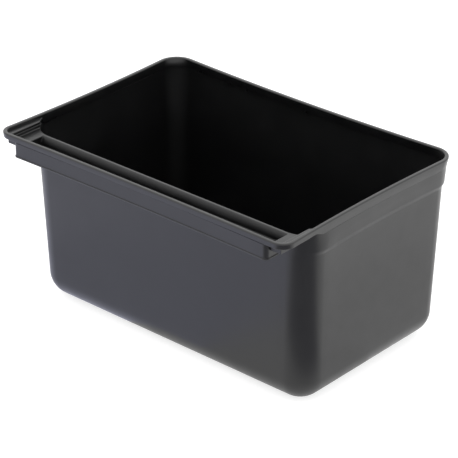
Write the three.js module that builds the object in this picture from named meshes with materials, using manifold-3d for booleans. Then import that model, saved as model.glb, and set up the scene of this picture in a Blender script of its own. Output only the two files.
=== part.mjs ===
// Hang-on service bin: a deep tapered tub with a raised rim, and a grooved hook
// along its front long side that drops over the edge of a cart or a counter.
// Millimetres, +Z up. The origin is the middle of the footprint on the resting
// plane: +X runs along the long side, and the hook is on the -Y side.

import * as THREE from "three";
import { mergeVertices } from "three/addons/utils/BufferGeometryUtils.js";
import Module from "manifold-3d";

const wasm = await Module();
wasm.setup();

// ---------------------------------------------------------------- dimensions

const LENGTH = 335;             // overall, along X
const DEPTH = 233.5;            // overall, along Y, hook included
const HEIGHT = 177;             // resting plane to the top of the rim
const GAP = 0.3;                // clearance left between neighbouring pieces

const RIM_RADIUS_BACK = 20;     // plan radii of the rim's outer corners
const RIM_RADIUS_FRONT = 12.5;
const RIM_BOW_SIDE = 2.7;       // how far the long thin sides pull in at mid length
const RIM_BOW_BACK = 4.2;
const RIM_BOW_FRONT = 1.8;
const LIP_WIDTH = 4;            // raised lip on top of the rim
const LIP_HEIGHT = 3;
const SHELF_THICKNESS = 2.5;    // plate under the lip, wide only at the front wings

const RIM_DRAFT = 0.45;         // the rim's outer face leans in towards its lower edge
const WALL = 2.6;               // moulded wall thickness of the tub
const TUB_HALF_LENGTH = 163.6;  // outside of the tub just under its shoulder
const TUB_FRONT = -83.7;
const TUB_BACK = 113.3;
const TUB_RADIUS_FRONT = 24;
const TUB_RADIUS_BACK = 19.5;
const TUB_DRAFT = 4.7;          // how far each wall leans in from shoulder to floor
const BOTTOM_RADIUS = 23;       // rounding from the walls into the floor
const SHOULDER_FOOT = 149.2;    // height where the wall starts to step out
const SHOULDER_TOP = 152.7;     // height of the band's lower edge
const SHOULDER_STEP = 2;        // how far the band stands out there
const BAND_FLARE = 3.1;         // and how far at its top, where it meets the rim
const INNER_FLARE = 2.3;        // the inside has no shoulder: it opens by this much
const INNER_FLARE_START = 120;  // between this height and its top
const TUB_TOP = 168;            // top edge of the tub, under the rim

const HOOK_FLOOR_TOP = 168;     // sunken web between the tub and the front lip
const HOOK_FLOOR = 2.5;
const HOOK_WALL = 2.4;
const HOOK_HALF_LENGTH = 159.1;
const HOOK_FRONT = -111.4;
const GROOVE_HALF_LENGTH = 142.8; // long blind groove sunk into the web
const GROOVE_END_WALL = 1.6;
const GROOVE_BACK = -87;
const GROOVE_FRONT = -100;
const GROOVE_FLOOR_TOP = 159.8;
const RAIL_BACK = -83.2;        // the rail behind the groove slopes from here
const RAIL_FOOT = 163;          // down to this height at the groove's rear wall

const SKIRT_BOTTOM = 157.3;     // front apron that hangs outside the cart edge
const SKIRT_WALL = 2.8;
const SKIRT_HALF_LENGTH = 147.5;
const SKIRT_RADIUS = 4.5;
const SKIRT_RETURN = 18;        // how far its ends turn back towards the tub

const ARC_STEPS = 6;            // facets in each rounded corner
const SIDE_STEPS = 8;           // facets along each bowed side

// -------------------------------------------------------------------- solids

const shelfTop = HEIGHT - LIP_HEIGHT;
const rimUnderside = shelfTop - SHELF_THICKNESS;
const hookUnderside = HOOK_FLOOR_TOP - HOOK_FLOOR;
const frontEdge = -DEPTH / 2;
const backEdge = DEPTH / 2;

// A rounded rectangle seen from above, anticlockwise, whose sides may bow in.
function outline({ halfX, front, back, rFront, rBack, bowSide = 0, bowBack = 0, bowFront = 0 }) {
  const corners = [
    { x: halfX - rFront, y: front + rFront, r: rFront, start: -90, bow: bowSide },
    { x: halfX - rBack, y: back - rBack, r: rBack, start: 0, bow: bowBack },
    { x: -halfX + rBack, y: back - rBack, r: rBack, start: 90, bow: bowSide },
    { x: -halfX + rFront, y: front + rFront, r: rFront, start: 180, bow: bowFront },
  ];
  const onCorner = (corner, degrees) => {
    const angle = THREE.MathUtils.degToRad(degrees);
    const x = corner.x + corner.r * Math.cos(angle);
    const y = corner.y + corner.r * Math.sin(angle);
    return new THREE.Vector2(x, y);
  };
  const points = [];
  corners.forEach((corner, index) => {
    for (let step = 0; step <= ARC_STEPS; step += 1) {
      points.push(onCorner(corner, corner.start + (90 * step) / ARC_STEPS));
    }
    const next = corners[(index + 1) % corners.length];
    const from = onCorner(corner, corner.start + 90);
    const to = onCorner(next, next.start);
    const inward = new THREE.Vector2(from.y - to.y, to.x - from.x).normalize();
    for (let step = 1; step < SIDE_STEPS; step += 1) {
      const t = step / SIDE_STEPS;
      const sag = corner.bow * 4 * t * (1 - t);
      points.push(from.clone().lerp(to, t).addScaledVector(inward, sag));
    }
  });
  return points;
}

// The same outline moved in by a distance, or out by a negative one.
function inset(shape, distance) {
  return {
    ...shape,
    halfX: shape.halfX - distance,
    front: shape.front + distance,
    back: shape.back - distance,
    rFront: Math.max(shape.rFront - distance, 0.5),
    rBack: Math.max(shape.rBack - distance, 0.5),
  };
}

// A closed skin over a stack of outlines: { z, points } from the first cap to the last.
function loft(rings) {
  const count = rings[0].points.length;
  const positions = [];
  const indices = [];
  rings.forEach(({ z, points }) => points.forEach((p) => positions.push(p.x, p.y, z)));
  for (let ring = 0; ring + 1 < rings.length; ring += 1) {
    for (let i = 0; i < count; i += 1) {
      const a = ring * count + i;
      const b = ring * count + ((i + 1) % count);
      indices.push(a, b, b + count, a, b + count, a + count);
    }
  }
  const closeRing = (ring, flip) => {
    const { z, points } = rings[ring];
    const middle = positions.length / 3;
    const centre = points.reduce((sum, p) => sum.add(p), new THREE.Vector2());
    centre.divideScalar(count);
    positions.push(centre.x, centre.y, z);
    for (let i = 0; i < count; i += 1) {
      const a = ring * count + i;
      const b = ring * count + ((i + 1) % count);
      indices.push(...(flip ? [middle, b, a] : [middle, a, b]));
    }
  };
  closeRing(0, true);
  closeRing(rings.length - 1, false);
  const geometry = new THREE.BufferGeometry();
  geometry.setAttribute("position", new THREE.Float32BufferAttribute(positions, 3));
  geometry.setIndex(indices);
  return geometry;
}

// A flat plate of the given outline between two heights.
function plate(shape, bottom, top) {
  const points = outline(shape);
  return loft([{ z: bottom, points }, { z: top, points }]);
}

// A box given by its lowest and highest corners.
function block(x0, x1, y0, y1, z0, z1) {
  const box = new THREE.BoxGeometry(x1 - x0, y1 - y0, z1 - z0);
  return box.translate((x0 + x1) / 2, (y0 + y1) / 2, (z0 + z1) / 2);
}

function toManifold(geometry) {
  const bare = geometry.clone();
  bare.deleteAttribute("normal");
  bare.deleteAttribute("uv");
  const merged = mergeVertices(bare, 1e-4);
  const vertProperties = new Float32Array(merged.attributes.position.array);
  const triVerts = new Uint32Array(merged.index.array);
  return new wasm.Manifold(new wasm.Mesh({ numProp: 3, vertProperties, triVerts }));
}

function toGeometry(solid) {
  const { vertProperties, triVerts } = solid.getMesh();
  const geometry = new THREE.BufferGeometry();
  geometry.setAttribute("position", new THREE.Float32BufferAttribute(vertProperties, 3));
  geometry.setIndex(new THREE.Uint32BufferAttribute(triVerts, 1));
  const flat = geometry.toNonIndexed();
  flat.computeVertexNormals();
  return flat;
}

// ------------------------------------------------------------------ outlines

const rimShape = {
  halfX: LENGTH / 2,
  front: frontEdge,
  back: backEdge,
  rFront: RIM_RADIUS_FRONT,
  rBack: RIM_RADIUS_BACK,
  bowSide: RIM_BOW_SIDE,
  bowBack: RIM_BOW_BACK,
  bowFront: RIM_BOW_FRONT,
};

// The tub's sides bow in with the rim, and less and less towards the floor.
function tubShape(height, standOut) {
  const lean = TUB_DRAFT * (1 - Math.min(height / SHOULDER_FOOT, 1));
  const bow = Math.min(height / TUB_TOP, 1) ** 2;
  return {
    halfX: TUB_HALF_LENGTH - lean + standOut,
    front: TUB_FRONT + lean,
    back: TUB_BACK - lean + standOut,
    rFront: TUB_RADIUS_FRONT + standOut,
    rBack: TUB_RADIUS_BACK + standOut,
    bowSide: RIM_BOW_SIDE * bow,
    bowBack: RIM_BOW_BACK * bow,
  };
}

// Outline stack of one skin of the tub, drawn in by `thickness` for the inner one:
// the rounding up from the floor, then the wall through the given heights.
function tubRings(thickness, walls) {
  const radius = BOTTOM_RADIUS - thickness;
  const rounding = [0, 18, 36, 54, 72, 90].map((degrees) => {
    const angle = THREE.MathUtils.degToRad(degrees);
    const z = thickness + radius * (1 - Math.cos(angle));
    const draw = radius * (1 - Math.sin(angle)) + thickness;
    return { z, points: outline(inset(tubShape(z, 0), draw)) };
  });
  const upper = walls.map(({ z, standOut }) => {
    return { z, points: outline(inset(tubShape(z, standOut), thickness)) };
  });
  return [...rounding, ...upper];
}

// ---------------------------------------------------------------- sub-parts

// Space taken by the hook tray, which the tub, the rim and the skirt leave free.
function hookSpace() {
  const half = HOOK_HALF_LENGTH + GAP;
  return block(-half, half, HOOK_FRONT - GAP, 0, hookUnderside - GAP, shelfTop);
}

// The hollow inside the tub, carried straight up through the rim.
function tubHollow() {
  return plate(inset(tubShape(TUB_TOP, INNER_FLARE), WALL), hookUnderside - 10, HEIGHT + 1);
}

function makeTub() {
  const outside = tubRings(0, [
    { z: SHOULDER_FOOT, standOut: 0 },
    { z: (SHOULDER_FOOT + SHOULDER_TOP) / 2, standOut: SHOULDER_STEP * 0.7 },
    { z: SHOULDER_TOP, standOut: SHOULDER_STEP },
    { z: TUB_TOP, standOut: BAND_FLARE },
  ]);
  const inside = tubRings(WALL, [
    { z: INNER_FLARE_START, standOut: 0 },
    { z: TUB_TOP, standOut: INNER_FLARE },
  ]).reverse();
  return toGeometry(toManifold(loft([...outside, ...inside])).subtract(toManifold(hookSpace())));
}

// Raised lip, the thin plate under it at the two front wings, and the short wall
// that stands on the tub along the other three sides.
function makeRim() {
  const lip = toManifold(loft([
    { z: rimUnderside, points: outline(inset(rimShape, RIM_DRAFT)) },
    { z: HEIGHT, points: outline(rimShape) },
  ]));
  const insideLip = toManifold(plate(inset(rimShape, LIP_WIDTH), shelfTop, HEIGHT + 1));
  const tray = block(
    -HOOK_HALF_LENGTH + HOOK_WALL,
    HOOK_HALF_LENGTH - HOOK_WALL,
    HOOK_FRONT + HOOK_WALL,
    0,
    rimUnderside - 1,
    HEIGHT,
  );
  const bandShape = tubShape(TUB_TOP, BAND_FLARE);
  const wall = toManifold(plate(bandShape, TUB_TOP + GAP, rimUnderside + 1));
  const standing = wall.subtract(toManifold(hookSpace()));
  const rim = lip.subtract(insideLip).add(standing);
  return toGeometry(rim.subtract(toManifold(tray)).subtract(toManifold(tubHollow())));
}

// Sunken tray that joins the tub to the front lip, with a deep groove along its floor
// and a sloping rail left between the groove and the tub's mouth.
function makeHookWeb() {
  const half = HOOK_HALF_LENGTH;
  const top = rimUnderside - GAP;
  const body = toManifold(block(-half, half, HOOK_FRONT, 0, hookUnderside, top));
  const trough = toManifold(block(
    -GROOVE_HALF_LENGTH - GROOVE_END_WALL,
    GROOVE_HALF_LENGTH + GROOVE_END_WALL,
    GROOVE_FRONT - HOOK_WALL,
    TUB_FRONT - GAP,
    GROOVE_FLOOR_TOP - HOOK_FLOOR,
    hookUnderside + 1,
  ));
  const hollow = block(
    -half + HOOK_WALL,
    half - HOOK_WALL,
    HOOK_FRONT + HOOK_WALL,
    1,
    HOOK_FLOOR_TOP,
    HEIGHT,
  );
  const groove = block(
    -GROOVE_HALF_LENGTH,
    GROOVE_HALF_LENGTH,
    GROOVE_FRONT,
    GROOVE_BACK,
    GROOVE_FLOOR_TOP,
    HOOK_FLOOR_TOP + 1,
  );
  const slope = new THREE.ExtrudeGeometry(
    new THREE.Shape([
      new THREE.Vector2(RAIL_BACK, HOOK_FLOOR_TOP),
      new THREE.Vector2(RAIL_BACK, HOOK_FLOOR_TOP + 1),
      new THREE.Vector2(GROOVE_BACK - 1, HOOK_FLOOR_TOP + 1),
      new THREE.Vector2(GROOVE_BACK - 1, RAIL_FOOT),
      new THREE.Vector2(GROOVE_BACK, RAIL_FOOT),
    ]),
    { depth: 2 * GROOVE_HALF_LENGTH, bevelEnabled: false },
  );
  const alongX = new THREE.Matrix4().makeBasis(
    new THREE.Vector3(0, 1, 0),
    new THREE.Vector3(0, 0, 1),
    new THREE.Vector3(1, 0, 0),
  );
  slope.applyMatrix4(alongX).translate(-GROOVE_HALF_LENGTH, 0, 0);
  const tray = body.add(trough).subtract(toManifold(hollow)).subtract(toManifold(groove));
  return toGeometry(tray.subtract(toManifold(slope)).subtract(toManifold(tubHollow())));
}

// Front apron with rounded ends that turn back towards the tub.
function makeSkirt() {
  const shape = {
    halfX: SKIRT_HALF_LENGTH,
    front: frontEdge,
    back: frontEdge + 2 * SKIRT_RETURN,
    rFront: SKIRT_RADIUS,
    rBack: SKIRT_RADIUS,
    bowFront: RIM_BOW_FRONT,
  };
  const top = rimUnderside - GAP;
  const outer = toManifold(plate(shape, SKIRT_BOTTOM, top));
  const inner = toManifold(plate(inset(shape, SKIRT_WALL), SKIRT_BOTTOM - 1, top + 1));
  const rear = block(-LENGTH, LENGTH, frontEdge + SKIRT_RETURN, 0, 0, HEIGHT);
  const skirt = outer.subtract(inner).subtract(toManifold(rear));
  return toGeometry(skirt.subtract(toManifold(hookSpace())));
}

// ----------------------------------------------------------------- assembly

function blackPlastic(color, roughness) {
  return new THREE.MeshStandardMaterial({ color, roughness, metalness: 0 });
}

function addPiece(group, name, geometry, material) {
  const mesh = new THREE.Mesh(geometry, material);
  mesh.name = name;
  group.add(mesh);
}

const bin = new THREE.Group();
addPiece(bin, "bin_tub", makeTub(), blackPlastic(0x1c1c1e, 0.42));
addPiece(bin, "rim_frame", makeRim(), blackPlastic(0x1f1f21, 0.38));
addPiece(bin, "hook_web", makeHookWeb(), blackPlastic(0x1d1d1f, 0.42));
addPiece(bin, "hook_skirt", makeSkirt(), blackPlastic(0x1c1d21, 0.42));

export default bin;
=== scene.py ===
"""Looks of the hang-on service bin: a deep tapered tub, its raised rim, the grooved
tray of the hook and the apron in front of it, all in satin black moulded plastic.
Lengths are written in millimetres and turned into metres when a mesh is made."""

import math

import bmesh
import bpy
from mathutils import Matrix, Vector


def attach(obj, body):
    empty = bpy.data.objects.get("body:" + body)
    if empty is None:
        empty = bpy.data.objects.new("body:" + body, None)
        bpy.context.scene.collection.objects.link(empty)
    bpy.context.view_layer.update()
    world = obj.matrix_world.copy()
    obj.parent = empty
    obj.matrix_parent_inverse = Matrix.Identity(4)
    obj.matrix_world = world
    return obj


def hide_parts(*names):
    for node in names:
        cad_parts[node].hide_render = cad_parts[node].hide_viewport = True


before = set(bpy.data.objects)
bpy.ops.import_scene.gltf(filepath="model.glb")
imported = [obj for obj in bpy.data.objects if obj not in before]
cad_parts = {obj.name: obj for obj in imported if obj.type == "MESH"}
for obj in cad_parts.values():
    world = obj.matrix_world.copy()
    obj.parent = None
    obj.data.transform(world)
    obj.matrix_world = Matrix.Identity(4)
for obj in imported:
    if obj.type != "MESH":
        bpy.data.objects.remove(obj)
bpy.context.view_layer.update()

MM = 0.001

# ---------------------------------------------------------------- dimensions

LENGTH = 335.0
DEPTH = 233.5
HEIGHT = 177.0
FRONT_EDGE = -DEPTH / 2
BACK_EDGE = DEPTH / 2

RIM_RADIUS_BACK = 20.0
RIM_RADIUS_FRONT = 12.5
RIM_BOW_SIDE = 2.7       # how far the rim's sides, back and front bow in at the middle
RIM_BOW_BACK = 4.2
RIM_BOW_FRONT = 1.8
RIM_DRAFT = 0.45         # lean of the rim's front face down to the wings' underside
RIM_BACK_ROUNDER = 2.6   # the rim's back corners get rounder down to the band
RIM_BAND_INSET = 0.8     # the rim's lower edge, drawn in to meet the band
RIM_BAND_INSET_BACK = 0.35
RIM_EDGE_ROUND = 0.15    # rounding of the rim's lower edge over the band,
WING_EDGE_ROUND = 0.8    # under the wings
APRON_EDGE_ROUND = 0.05  # and where the apron meets it
LIP_WIDTH = 4.0
LIP_HEIGHT = 3.0
LIP_OUTER_ROUND = 1.3
LIP_INNER_ROUND = 1.0
SHELF_THICKNESS = 2.5
SHELF_TOP = HEIGHT - LIP_HEIGHT
SHELF_OVERLAP = 0.3      # how far the wings' shelves reach into the lip
RIM_UNDERSIDE = SHELF_TOP - SHELF_THICKNESS
WING_START = -64.0       # along Y, where the rim's lower edge starts to rise to the wings
WING_END = -73.0
SEAM = 0.05              # hairline between two pieces that meet flush
GAP = 0.3                # play between the tray's sides and what is around them

WALL = 2.6
TUB_HALF_LENGTH = 163.6
TUB_FRONT = -83.7
TUB_BACK = 113.3
TUB_RADIUS_FRONT = 24.0
TUB_RADIUS_BACK = 19.5
TUB_DRAFT = 4.7          # how far each side leans in from the draft's end to the floor
DRAFT_END = 149.2        # the height where that lean ends
BOTTOM_RADIUS = 23.0
SHOULDER_LOW = 147.6     # the shoulder is one soft curve between these heights
SHOULDER_TOP = 153.4
SHOULDER_STEP = 2.0      # how far the band stands out at its foot
BAND_FLARE = 3.1         # and at its top
INNER_FLARE = 2.3        # how far the inside has opened at the mouth
INNER_FLARE_START = 120.0
TUB_TOP = 168.0

HOOK_FLOOR_TOP = 168.0
HOOK_FLOOR = 2.5
HOOK_UNDERSIDE = HOOK_FLOOR_TOP - HOOK_FLOOR
HOOK_WALL = 2.4
HOOK_HALF_LENGTH = 159.1
HOOK_FRONT = -111.4
WING_ROUND = 3.0         # rounding of the tray's outer edges under the wings
GROOVE_HALF_LENGTH = 142.8
GROOVE_END_WALL = 1.6
GROOVE_BACK = -87.0
GROOVE_FRONT = -100.0
GROOVE_FLOOR_TOP = 159.8
RAIL_BACK = -83.8        # the rail behind the groove slopes from here
RAIL_FOOT = 163.0        # down to this height

SKIRT_BOTTOM = 157.3
SKIRT_WALL = 2.8
SKIRT_HALF_LENGTH = 147.5
SKIRT_RADIUS = 4.5
SKIRT_RETURN = 18.0
SKIRT_BEAD = 0.6         # the apron's lower edge stands out by this much
SKIRT_BEAD_EDGE = [      # height above the apron's lower edge, share of the bead
    (0.0, 0.2),
    (0.2, 0.7),
    (0.5, 0.95),
    (1.0, 1.0),
    (1.35, 0.85),
    (1.55, 0.5),
    (1.65, 0.0),
]

EDGE_ROUND = 0.7         # rounding of the edges of the tray and the wings' shelves
LEAST_RADIUS = 0.5       # the tightest corner of an outline that is moved in
CUT_PAST = 5.0           # how far a cutting shape reaches past what it cuts
RAIL_CUT_PAST = 1.0
ON_EDGE = 1e-5           # metres; how near a point counts as on an edge

# ------------------------------------------------------------------ fineness

ARC_STEPS = 20           # facets in each rounded corner of an outline
SIDE_STEPS = 20          # along each side
BOTTOM_STEPS = 16        # up the rounding of the tub's bottom edge
OUTSIDE_STEPS = 12       # up the tub's plain outside
SHOULDER_STEPS = 12
BAND_STEPS = 5
INSIDE_STEPS = 8         # up each half of the tub's inside
RIM_EDGE_STEPS = 4       # in the rim's rounded edges
LIP_OUTER_STEPS = 7
LIP_INNER_STEPS = 6
ROUND_SEGMENTS = 4
WING_SEGMENTS = 6
CARD_STEPS = 24
SHARP_ANGLE = math.radians(38)  # edges that turn more than this are shaded sharp
ROUND_ANGLE = math.radians(40)  # edges that turn more than this are rounded


# ------------------------------------------------------------------ outlines

def outline(shape):
    """Points of a rounded rectangle seen from above, whose sides may bow in."""
    half, front, back = shape["half"], shape["front"], shape["back"]
    r_front, r_back = shape["r_front"], shape["r_back"]
    side, rear, fore = shape["bow_side"], shape["bow_back"], shape["bow_front"]
    corners = [
        (half - r_front, front + r_front, r_front, -90, side),
        (half - r_back, back - r_back, r_back, 0, rear),
        (-half + r_back, back - r_back, r_back, 90, side),
        (-half + r_front, front + r_front, r_front, 180, fore),
    ]

    def on_corner(corner, degrees):
        angle = math.radians(degrees)
        x, y, radius = corner[:3]
        return Vector((x + radius * math.cos(angle), y + radius * math.sin(angle)))

    points = []
    for index, corner in enumerate(corners):
        for step in range(ARC_STEPS + 1):
            points.append(on_corner(corner, corner[3] + 90 * step / ARC_STEPS))
        following = corners[(index + 1) % 4]
        start = on_corner(corner, corner[3] + 90)
        end = on_corner(following, following[3])
        inward = Vector((start.y - end.y, end.x - start.x)).normalized()
        for step in range(1, SIDE_STEPS):
            t = step / SIDE_STEPS
            points.append(start.lerp(end, t) + inward * (corner[4] * 4 * t * (1 - t)))
    return points


def inset(shape, distance):
    """The same outline moved in by a distance."""
    return dict(
        shape,
        half=shape["half"] - distance,
        front=shape["front"] + distance,
        back=shape["back"] - distance,
        r_front=max(shape["r_front"] - distance, LEAST_RADIUS),
        r_back=max(shape["r_back"] - distance, LEAST_RADIUS),
    )


RIM_SHAPE = dict(
    half=LENGTH / 2,
    front=FRONT_EDGE,
    back=BACK_EDGE,
    r_front=RIM_RADIUS_FRONT,
    r_back=RIM_RADIUS_BACK,
    bow_side=RIM_BOW_SIDE,
    bow_back=RIM_BOW_BACK,
    bow_front=RIM_BOW_FRONT,
)


def tub_shape(height, stand_out):
    """Outline of the tub's outside at a height: straight at the floor, bowed at the rim."""
    lean = TUB_DRAFT * (1 - min(height / DRAFT_END, 1))
    bow = min(height / TUB_TOP, 1) ** 2
    return dict(
        half=TUB_HALF_LENGTH - lean + stand_out,
        front=TUB_FRONT + lean,
        back=TUB_BACK - lean + stand_out,
        r_front=TUB_RADIUS_FRONT + stand_out,
        r_back=TUB_RADIUS_BACK + stand_out,
        bow_side=RIM_BOW_SIDE * bow,
        bow_back=RIM_BOW_BACK * bow,
        bow_front=0.0,
    )


MOUTH_SHAPE = inset(tub_shape(TUB_TOP, INNER_FLARE), WALL)


def smooth(low, high, value):
    """0 below low, 1 above high and an S-curve between them; low may be the larger."""
    t = min(max((value - low) / (high - low), 0.0), 1.0)
    return t * t * (3 - 2 * t)


def steps(low, high, count):
    """Equal steps from a low number to a high one, without the low one itself."""
    return [low + (high - low) * index / count for index in range(1, count + 1)]


def quarter(count):
    """Angles from 0 to 90 degrees in equal steps."""
    return [math.radians(90 * index / count) for index in range(count + 1)]


# ------------------------------------------------------------ mesh utilities

def mark_smooth(bm):
    bmesh.ops.recalc_face_normals(bm, faces=bm.faces)
    for face in bm.faces:
        face.smooth = True
    for edge in bm.edges:
        edge.smooth = len(edge.link_faces) == 2 and edge.calc_face_angle() < SHARP_ANGLE


def edit(obj, change):
    """Runs a change on an object's mesh."""
    bm = bmesh.new()
    bm.from_mesh(obj.data)
    change(bm)
    bm.to_mesh(obj.data)
    bm.free()


def to_object(bm, name):
    mark_smooth(bm)
    mesh = bpy.data.meshes.new(name)
    bm.to_mesh(mesh)
    bm.free()
    obj = bpy.data.objects.new(name, mesh)
    bpy.context.scene.collection.objects.link(obj)
    return obj


def skin(name, rings, closed):
    """A skin over rings of points (mm). A closed one is a loop, an open one is capped."""
    bm = bmesh.new()
    rows = [[bm.verts.new(Vector(p) * MM) for p in ring] for ring in rings]
    count = len(rows[0])
    pairs = list(zip(rows, rows[1:]))
    if closed:
        pairs.append((rows[-1], rows[0]))
    for low, high in pairs:
        for i in range(count):
            j = (i + 1) % count
            bm.faces.new((low[i], low[j], high[j], high[i]))
    if not closed:
        bm.faces.new(list(reversed(rows[0])))
        bm.faces.new(rows[-1])
    return to_object(bm, name)


def prism(name, points, bottom, top):
    flat = [[(p[0], p[1], z) for p in points] for z in (bottom, top)]
    return skin(name, flat, closed=False)


def block(name, low, high):
    x0, y0, z0 = low
    x1, y1, z1 = high
    return prism(name, [(x0, y0), (x1, y0), (x1, y1), (x0, y1)], z0, z1)


def settle(obj):
    """Applies the modifiers of an object to its mesh."""
    graph = bpy.context.evaluated_depsgraph_get()
    mesh = bpy.data.meshes.new_from_object(obj.evaluated_get(graph))
    obj.modifiers.clear()
    old = obj.data
    obj.data = mesh
    bpy.data.meshes.remove(old)


def combine(obj, operation, *tools):
    """Joins shapes to an object (UNION) or cuts them out of it (DIFFERENCE)."""
    for tool in tools:
        modifier = obj.modifiers.new("combine", "BOOLEAN")
        modifier.operation = operation
        modifier.solver = "EXACT"
        modifier.object = tool
    settle(obj)
    for tool in tools:
        bpy.data.objects.remove(tool)


def round_edges(obj, width):
    bevel = obj.modifiers.new("round", "BEVEL")
    bevel.width = width * MM
    bevel.segments = ROUND_SEGMENTS
    bevel.limit_method = "ANGLE"
    bevel.angle_limit = ROUND_ANGLE
    bevel.use_clamp_overlap = False
    settle(obj)
    edit(obj, mark_smooth)
    weighted = obj.modifiers.new("even", "WEIGHTED_NORMAL")
    weighted.keep_sharp = True
    settle(obj)


def merge(name, objects):
    """One object out of several that are the same moulding."""
    bm = bmesh.new()
    for obj in objects:
        bm.from_mesh(obj.data)
        bpy.data.objects.remove(obj)
    return to_object(bm, name)


# ----------------------------------------------------------------------- tub

def tub_edge(point):
    """Height of the tub's top edge at a point: lower under the tray, higher at the wings."""
    if point.y > WING_START:
        return TUB_TOP - SEAM
    if abs(point.x) < HOOK_HALF_LENGTH + GAP:
        return HOOK_UNDERSIDE - SEAM
    rise = smooth(WING_START, WING_END, point.y)
    return TUB_TOP + (RIM_UNDERSIDE - TUB_TOP) * rise - SEAM


def rim_side(y):
    """Half width of the rim's lower edge at a place along Y."""
    start = FRONT_EDGE + RIM_RADIUS_FRONT
    end = BACK_EDGE - RIM_RADIUS_BACK
    t = min(max((y - start) / (end - start), 0), 1)
    return LENGTH / 2 - RIM_BAND_INSET - RIM_BOW_SIDE * 4 * t * (1 - t)


def band_ring(shape, share):
    """An outline of the band, brought in line with the rim's sides by a share."""
    points = outline(shape)
    rear = shape["back"] - shape["r_back"]
    corner = shape["front"] + shape["r_front"]
    corner_shift = rim_side(corner) - points[ARC_STEPS].x
    ring = []
    for p in points:
        if p.y > rear or abs(p.x) < shape["half"] - shape["r_front"]:
            shift = 0
        elif p.y >= corner:
            shift = rim_side(p.y) - abs(p.x)
        else:
            shift = corner_shift * smooth(shape["front"], corner, p.y)
        outward = 1 if p.x > 0 else -1
        ring.append(Vector((p.x + outward * shift * share, p.y)))
    return ring


def tub_wall(thickness, heights):
    """Rings of one skin of the tub: the rounding from the floor, then the given heights."""
    radius = BOTTOM_RADIUS - thickness
    rings = []
    for angle in quarter(BOTTOM_STEPS):
        z = thickness + radius * (1 - math.cos(angle))
        draw = radius * (1 - math.sin(angle)) + thickness
        rings.append([(p.x, p.y, z) for p in outline(inset(tub_shape(z, 0), draw))])
    for z, stand_out in heights:
        shape = inset(tub_shape(z, stand_out), thickness)
        rings.append([(p.x, p.y, z) for p in outline(shape)])
    return rings


def up_to_edge(points, low, share):
    """A ring that lies at a share of the way from a height to the tub's top edge."""
    return [(p.x, p.y, low + (tub_edge(p) - low) * share) for p in points]


def make_tub():
    """The outside with its shoulder and band, over an inside that opens without a step."""
    plain = [(z, 0.0) for z in steps(BOTTOM_RADIUS, SHOULDER_LOW, OUTSIDE_STEPS)]
    shoulder = [
        (SHOULDER_LOW + (SHOULDER_TOP - SHOULDER_LOW) * t, SHOULDER_STEP * smooth(0, 1, t))
        for t in steps(0, 1, SHOULDER_STEPS)
    ]
    outside = tub_wall(0, plain + shoulder)
    for t in steps(0, 1, BAND_STEPS):
        stand_out = SHOULDER_STEP + (BAND_FLARE - SHOULDER_STEP) * t
        band = band_ring(tub_shape(TUB_TOP, stand_out), t)
        outside.append(up_to_edge(band, SHOULDER_TOP, t))
    low = [(z, 0.0) for z in steps(BOTTOM_RADIUS, INNER_FLARE_START, INSIDE_STEPS)]
    inside = tub_wall(WALL, low)
    for t in steps(0, 1, INSIDE_STEPS):
        z = INNER_FLARE_START + (TUB_TOP - INNER_FLARE_START) * t
        opening = outline(inset(tub_shape(z, INNER_FLARE * t), WALL))
        inside.append(up_to_edge(opening, INNER_FLARE_START, t))
    return skin("tub", outside + inside[::-1], closed=False)


# ----------------------------------------------------------------------- rim

def rim_outer(z, drawn_in):
    """Outline of the rim's outer face at a height, drawn in a little further."""
    down = (HEIGHT - z) / (HEIGHT - TUB_TOP)
    draft = RIM_DRAFT * min((HEIGHT - z) / (HEIGHT - RIM_UNDERSIDE), 1)
    return dict(
        RIM_SHAPE,
        half=RIM_SHAPE["half"] - RIM_BAND_INSET * down - drawn_in,
        front=RIM_SHAPE["front"] + draft + drawn_in,
        back=RIM_SHAPE["back"] - RIM_BAND_INSET_BACK * down - drawn_in,
        r_front=RIM_RADIUS_FRONT - drawn_in,
        r_back=RIM_RADIUS_BACK + RIM_BACK_ROUNDER * down - drawn_in,
    )


def rim_bottom(point):
    """Height and rounding of the rim's lower outer edge at a point of its outline."""
    rise = smooth(WING_START, WING_END, point.y)
    z = TUB_TOP + (RIM_UNDERSIDE - TUB_TOP) * rise
    if point.y < FRONT_EDGE + SKIRT_RADIUS and abs(point.x) < SKIRT_HALF_LENGTH:
        return z, APRON_EDGE_ROUND
    return z, RIM_EDGE_ROUND + (WING_EDGE_ROUND - RIM_EDGE_ROUND) * rise


def rim_ring(heights, draws):
    """A ring on the rim's outer face; its height and draw differ from point to point."""
    ring = []
    outlines = {}
    for index, (z, drawn) in enumerate(zip(heights, draws)):
        key = (round(z, 3), round(drawn, 3))
        if key not in outlines:
            outlines[key] = outline(rim_outer(z, drawn))
        p = outlines[key][index]
        ring.append((p.x, p.y, z))
    return ring


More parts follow.
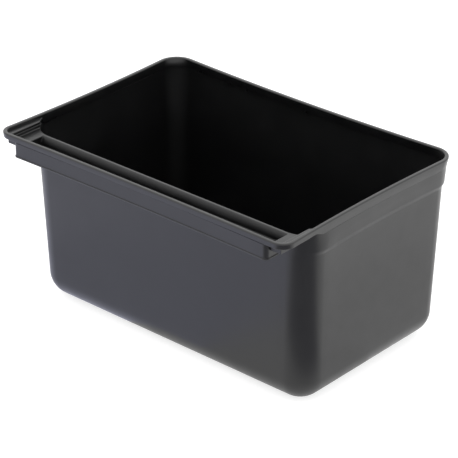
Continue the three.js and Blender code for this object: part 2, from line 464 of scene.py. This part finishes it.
def make_rim_ring():
    """The raised lip all round, its outer face, and the wall inside it."""
    edges = [rim_bottom(p) for p in outline(RIM_SHAPE)]
    count = len(edges)
    rings = []
    for angle in quarter(RIM_EDGE_STEPS):
        lift, draw = 1 - math.cos(angle), 1 - math.sin(angle)
        heights = [bottom + rounding * lift for bottom, rounding in edges]
        draws = [rounding * draw for _, rounding in edges]
        rings.append(rim_ring(heights, draws))
    for angle in quarter(LIP_OUTER_STEPS):
        z = HEIGHT - LIP_OUTER_ROUND * (1 - math.sin(angle))
        draw = LIP_OUTER_ROUND * (1 - math.cos(angle))
        rings.append(rim_ring([z] * count, [draw] * count))
    for angle in quarter(LIP_INNER_STEPS):
        z = HEIGHT - LIP_INNER_ROUND * (1 - math.cos(angle))
        draw = LIP_WIDTH - LIP_INNER_ROUND * (1 - math.sin(angle))
        rings.append([(p.x, p.y, z) for p in outline(inset(RIM_SHAPE, draw))])
    inside = outline(dict(
        RIM_SHAPE,
        half=MOUTH_SHAPE["half"],
        back=MOUTH_SHAPE["back"],
        r_back=MOUTH_SHAPE["r_back"],
        front=FRONT_EDGE + LIP_WIDTH,
        r_front=RIM_RADIUS_FRONT - LIP_WIDTH,
    ))
    rings.append([(p.x, p.y, SHELF_TOP) for p in inside])
    rings.append([(p.x, p.y, bottom) for p, (bottom, _) in zip(inside, edges)])
    return skin("ring", rings, closed=True)


def tub_hollow(name):
    """The space over the tub's mouth, to cut out of what reaches into it."""
    low = HOOK_UNDERSIDE - 4 * CUT_PAST
    return prism(name, outline(MOUTH_SHAPE), low, HEIGHT + 2 * CUT_PAST)


def make_rim():
    """The ring, and the thin shelf inside it at the two front wings."""
    shelf_outline = outline(inset(RIM_SHAPE, LIP_WIDTH - SHELF_OVERLAP))
    shelf = prism("shelf", shelf_outline, RIM_UNDERSIDE, SHELF_TOP)
    half = HOOK_HALF_LENGTH - HOOK_WALL
    recess = block(
        "recess",
        (-half, HOOK_FRONT + HOOK_WALL, RIM_UNDERSIDE - CUT_PAST),
        (half, BACK_EDGE + CUT_PAST, HEIGHT + CUT_PAST),
    )
    behind = block(
        "behind",
        (-LENGTH, TUB_FRONT + TUB_RADIUS_FRONT, RIM_UNDERSIDE - CUT_PAST),
        (LENGTH, BACK_EDGE + CUT_PAST, HEIGHT + CUT_PAST),
    )
    combine(shelf, "DIFFERENCE", recess, tub_hollow("hollow"), behind)
    round_edges(shelf, EDGE_ROUND)
    return merge("rim", [make_rim_ring(), shelf])


# ---------------------------------------------------------------------- hook

def round_wing_edges(bm):
    """Rounds the tray's upright front edges and its lower side edges."""
    def lies_at(edge, axis, place):
        return all(abs(v.co[axis] - place * MM) < ON_EDGE for v in edge.verts)

    outer = [
        edge for edge in bm.edges
        if all(abs(abs(v.co.x) - HOOK_HALF_LENGTH * MM) < ON_EDGE for v in edge.verts)
        and (lies_at(edge, 1, HOOK_FRONT) or lies_at(edge, 2, HOOK_UNDERSIDE))
    ]
    bmesh.ops.bevel(
        bm,
        geom=outer,
        offset=WING_ROUND * MM,
        segments=WING_SEGMENTS,
        profile=0.5,
        affect="EDGES",
        clamp_overlap=True,
    )


def make_tray():
    """The sunken web with the groove hanging from it, and a sloping rail behind."""
    half = HOOK_HALF_LENGTH
    tray = block(
        "tray",
        (-half, HOOK_FRONT, HOOK_UNDERSIDE),
        (half, TUB_FRONT + TUB_RADIUS_FRONT, RIM_UNDERSIDE - SEAM),
    )
    hollow = block(
        "hollow",
        (-half + HOOK_WALL, HOOK_FRONT + HOOK_WALL, HOOK_FLOOR_TOP),
        (half - HOOK_WALL, 0, HEIGHT),
    )
    trough_half = GROOVE_HALF_LENGTH + GROOVE_END_WALL
    trough = block(
        "trough",
        (-trough_half, GROOVE_FRONT - HOOK_WALL, GROOVE_FLOOR_TOP - HOOK_FLOOR),
        (trough_half, TUB_FRONT - SEAM, HOOK_UNDERSIDE + HOOK_FLOOR / 2),
    )
    groove = block(
        "groove",
        (-GROOVE_HALF_LENGTH, GROOVE_FRONT, GROOVE_FLOOR_TOP),
        (GROOVE_HALF_LENGTH, GROOVE_BACK, HEIGHT),
    )
    combine(tray, "UNION", trough)
    profile = [
        (RAIL_BACK, HOOK_FLOOR_TOP),
        (RAIL_BACK, HOOK_FLOOR_TOP + RAIL_CUT_PAST),
        (GROOVE_BACK - RAIL_CUT_PAST, HOOK_FLOOR_TOP + RAIL_CUT_PAST),
        (GROOVE_BACK - RAIL_CUT_PAST, RAIL_FOOT),
        (GROOVE_BACK, RAIL_FOOT),
    ]
    ends = (-GROOVE_HALF_LENGTH, GROOVE_HALF_LENGTH)
    slope = skin("slope", [[(x, y, z) for y, z in profile] for x in ends], closed=False)
    combine(tray, "DIFFERENCE", hollow, groove, slope, tub_hollow("opening"))
    edit(tray, round_wing_edges)
    round_edges(tray, EDGE_ROUND)
    return tray


def make_skirt():
    """The apron with its rounded ends turned back, and the bead on its lower edge."""
    shape = dict(
        half=SKIRT_HALF_LENGTH,
        front=FRONT_EDGE + RIM_DRAFT,
        back=FRONT_EDGE + 2 * SKIRT_RETURN,
        r_front=SKIRT_RADIUS,
        r_back=SKIRT_RADIUS,
        bow_side=0.0,
        bow_back=0.0,
        bow_front=RIM_BOW_FRONT,
    )
    top = RIM_UNDERSIDE - SEAM
    inner = outline(inset(shape, SKIRT_WALL))
    rings = []
    for lift, share in SKIRT_BEAD_EDGE:
        around = outline(inset(shape, -share * SKIRT_BEAD))
        rings.append([(p.x, p.y, SKIRT_BOTTOM + lift) for p in around])
    rings.append([(p.x, p.y, top) for p in outline(shape)])
    skirt = skin("skirt", rings, closed=False)
    hollow = prism("hollow", inner, SKIRT_BOTTOM - CUT_PAST, top + CUT_PAST)
    rear = block(
        "rear",
        (-LENGTH, FRONT_EDGE + SKIRT_RETURN, 0),
        (LENGTH, BACK_EDGE, HEIGHT),
    )
    half = HOOK_HALF_LENGTH + GAP
    space = block(
        "space",
        (-half, HOOK_FRONT - SEAM, HOOK_UNDERSIDE - SEAM),
        (half, 0, HEIGHT),
    )
    combine(skirt, "DIFFERENCE", hollow, rear, space)
    edit(skirt, mark_smooth)
    return skirt


# ----------------------------------------------------------------- materials

PLASTIC_IOR = 1.5
CLOUD_SCALE = 14.0          # broad unevenness of the black
SHEEN_SCALE = 55.0          # duller and shinier patches
GRAIN_SCALE = 1500.0        # fine moulded grain
GRAIN_STRENGTH = 0.12
GRAIN_HEIGHT = 0.00006
PATCH_LOW = 0.3             # the noise values between which a patch changes
PATCH_HIGH = 0.7
EDGE_WEAR = [(0.5, 1.0), (0.6, 0.8)]  # pointiness and the share of roughness left

BLACK = ((0.0018, 0.0018, 0.0020), (0.0030, 0.0030, 0.0033))
HOOK_BLACK = ((0.0018, 0.0018, 0.0021), (0.0030, 0.0030, 0.0035))
SATIN = (0.34, 0.42)
RIM_SATIN = (0.30, 0.38)


def node(tree, kind, **inputs):
    made = tree.nodes.new(kind)
    for key, value in inputs.items():
        made.inputs[key.replace("_", " ")].default_value = value
    return made


def ramp(tree, source, stops):
    """A ramp of two stops; a stop's value is a colour or a single number."""
    made = tree.nodes.new("ShaderNodeValToRGB")
    for point, (place, value) in zip(made.color_ramp.elements, stops):
        point.position = place
        rgb = value if isinstance(value, tuple) else (value, value, value)
        point.color = (*rgb, 1.0)
    tree.links.new(source, made.inputs["Fac"])
    return made.outputs["Color"]


def patches(tree, source, values):
    """Turns a noise into patches of two tones, or of two sheens."""
    low, high = values
    return ramp(tree, source, [(PATCH_LOW, low), (PATCH_HIGH, high)])


def noise(tree, coords, scale, detail, rough=0.5):
    made = node(tree, "ShaderNodeTexNoise", Scale=scale, Detail=detail, Roughness=rough)
    tree.links.new(coords, made.inputs["Vector"])
    return made.outputs["Fac"]


def plastic(name, tones, sheens):
    """Black moulded plastic: fine grain, uneven sheen and edges rubbed smoother."""
    material = bpy.data.materials.new(name + "_black")
    material.use_nodes = True
    tree = material.node_tree
    shader = tree.nodes["Principled BSDF"]
    shader.inputs["IOR"].default_value = PLASTIC_IOR
    coords = tree.nodes.new("ShaderNodeTexCoord").outputs["Object"]
    cloud = noise(tree, coords, CLOUD_SCALE, detail=4.0)
    tree.links.new(patches(tree, cloud, tones), shader.inputs["Base Color"])
    sheen = noise(tree, coords, SHEEN_SCALE, detail=5.0, rough=0.6)
    worn = tree.nodes.new("ShaderNodeNewGeometry").outputs["Pointiness"]
    product = tree.nodes.new("ShaderNodeMath")
    product.operation = "MULTIPLY"
    tree.links.new(patches(tree, sheen, sheens), product.inputs[0])
    tree.links.new(ramp(tree, worn, EDGE_WEAR), product.inputs[1])
    tree.links.new(product.outputs[0], shader.inputs["Roughness"])
    grain = noise(tree, coords, GRAIN_SCALE, detail=3.0)
    bump = node(tree, "ShaderNodeBump", Strength=GRAIN_STRENGTH, Distance=GRAIN_HEIGHT)
    tree.links.new(grain, bump.inputs["Height"])
    tree.links.new(bump.outputs["Normal"], shader.inputs["Normal"])
    return material


def glow(name, strength, color):
    material = bpy.data.materials.new(name)
    material.use_nodes = True
    tree = material.node_tree
    tree.nodes.clear()
    out = tree.nodes.new("ShaderNodeOutputMaterial")
    light = node(tree, "ShaderNodeEmission", Color=(*color, 1.0), Strength=strength)
    tree.links.new(light.outputs[0], out.inputs["Surface"])
    return material


MATERIALS = {
    "tub_plastic": plastic("tub_plastic", BLACK, SATIN),
    "rim_plastic": plastic("rim_plastic", BLACK, RIM_SATIN),
    "hook_plastic": plastic("hook_plastic", HOOK_BLACK, SATIN),
}

PIECES = [
    (make_tub(), "bin_tub", "tub_plastic"),
    (make_rim(), "rim_frame", "rim_plastic"),
    (make_tray(), "hook_web", "hook_plastic"),
    (make_skirt(), "hook_skirt", "hook_plastic"),
]
for piece, cad_node, slot_name in PIECES:
    piece.data.materials.clear()
    piece.data.materials.append(MATERIALS[slot_name])
    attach(piece, "root")
    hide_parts(cad_node)


# --------------------------------------------------------------------- stage

SKY = 1.6                   # radiance of the plain white surroundings
WHITE = (1.0, 1.0, 1.0)

FLOOR_SIZE = 8.0            # metres, as are all the lengths below
FLOOR_DROP = 0.0005         # the floor lies a hair below the bin
FLOOR_ROUGHNESS = 0.9
FLOOR_GLOW = 0.7            # the floor lights itself a little, so it stays white
PAPER_SCALE = 3.0
PAPER_TONES = (0.46, 0.50)

CARD_LIFT = 0.001
CARDS = [                   # name, azimuths in degrees, near, far, strength, colour
    ("left_near_card", -85, 16, 0.09, 0.28, 1.15, (0.93, 0.95, 1.14)),
    ("left_card", -85, 16, 0.28, 3.0, 1.42, (0.94, 0.955, 1.12)),
    ("dark_card", 20, 84, 0.21, 3.0, 0.5, (0.97, 0.97, 1.08)),
    ("right_near_card", 98, 170, 0.12, 0.34, 1.3, WHITE),
    ("right_card", 98, 170, 0.34, 3.0, 1.7, WHITE),
]

CAMERA_AZIMUTH = math.radians(41.61)
CAMERA_ELEVATION = math.radians(27.55)
CAMERA_DISTANCE = 2.0827
CAMERA_TARGET = Vector((0, 0, 0.0885))
CAMERA_SENSOR = 36.0        # millimetres
CAMERA_LENS = 182.72
CAMERA_SHIFT = (0.0080, 0.0046)
CAMERA_REACH = 50.0


def make_floor():
    bm = bmesh.new()
    bmesh.ops.create_grid(bm, x_segments=1, y_segments=1, size=FLOOR_SIZE / 2)
    floor = to_object(bm, "floor")
    floor.location.z = -FLOOR_DROP
    material = bpy.data.materials.new("floor_paper")
    material.use_nodes = True
    tree = material.node_tree
    shader = tree.nodes["Principled BSDF"]
    shader.inputs["Roughness"].default_value = FLOOR_ROUGHNESS
    shader.inputs["Specular IOR Level"].default_value = 0.0
    coords = tree.nodes.new("ShaderNodeTexCoord").outputs["Object"]
    paper = noise(tree, coords, PAPER_SCALE, detail=3.0)
    tree.links.new(patches(tree, paper, PAPER_TONES), shader.inputs["Base Color"])
    shader.inputs["Emission Color"].default_value = (*WHITE, 1.0)
    shader.inputs["Emission Strength"].default_value = FLOOR_GLOW
    floor.data.materials.append(material)


def make_card(name, start, end, near, far, strength, color):
    """A low fan-shaped card on the floor that shows only as a reflection in the bin.
    Its sector runs between two azimuths, seen from the middle of the bin."""
    bm = bmesh.new()
    rows = []
    for index in range(CARD_STEPS + 1):
        angle = math.radians(start + (end - start) * index / CARD_STEPS)
        way = Vector((math.sin(angle), -math.cos(angle), 0))
        rows.append([bm.verts.new(way * near), bm.verts.new(way * far)])
    for one, two in zip(rows, rows[1:]):
        bm.faces.new((one[0], one[1], two[1], two[0]))
    card = to_object(bm, name)
    card.location.z = CARD_LIFT
    card.data.materials.append(glow(name, strength, color))
    card.visible_camera = False
    card.visible_diffuse = False
    card.visible_shadow = False
    card.visible_transmission = False


def make_world(scene):
    world = bpy.data.worlds.new("studio")
    world.use_nodes = True
    background = world.node_tree.nodes["Background"]
    background.inputs["Color"].default_value = (*WHITE, 1.0)
    background.inputs["Strength"].default_value = SKY
    scene.world = world
    scene.view_settings.view_transform = "Standard"


def make_camera(scene):
    data = bpy.data.cameras.new("camera")
    data.sensor_width = CAMERA_SENSOR
    data.lens = CAMERA_LENS
    data.shift_x, data.shift_y = CAMERA_SHIFT
    data.clip_end = CAMERA_REACH
    camera = bpy.data.objects.new("camera", data)
    scene.collection.objects.link(camera)
    way = Vector((
        math.cos(CAMERA_ELEVATION) * math.sin(CAMERA_AZIMUTH),
        -math.cos(CAMERA_ELEVATION) * math.cos(CAMERA_AZIMUTH),
        math.sin(CAMERA_ELEVATION),
    ))
    camera.location = CAMERA_TARGET + way * CAMERA_DISTANCE
    camera.rotation_euler = (-way).to_track_quat("-Z", "Y").to_euler()
    return camera


make_floor()
for card_values in CARDS:
    make_card(*card_values)
make_world(bpy.context.scene)
bpy.context.scene.camera = make_camera(bpy.context.scene)
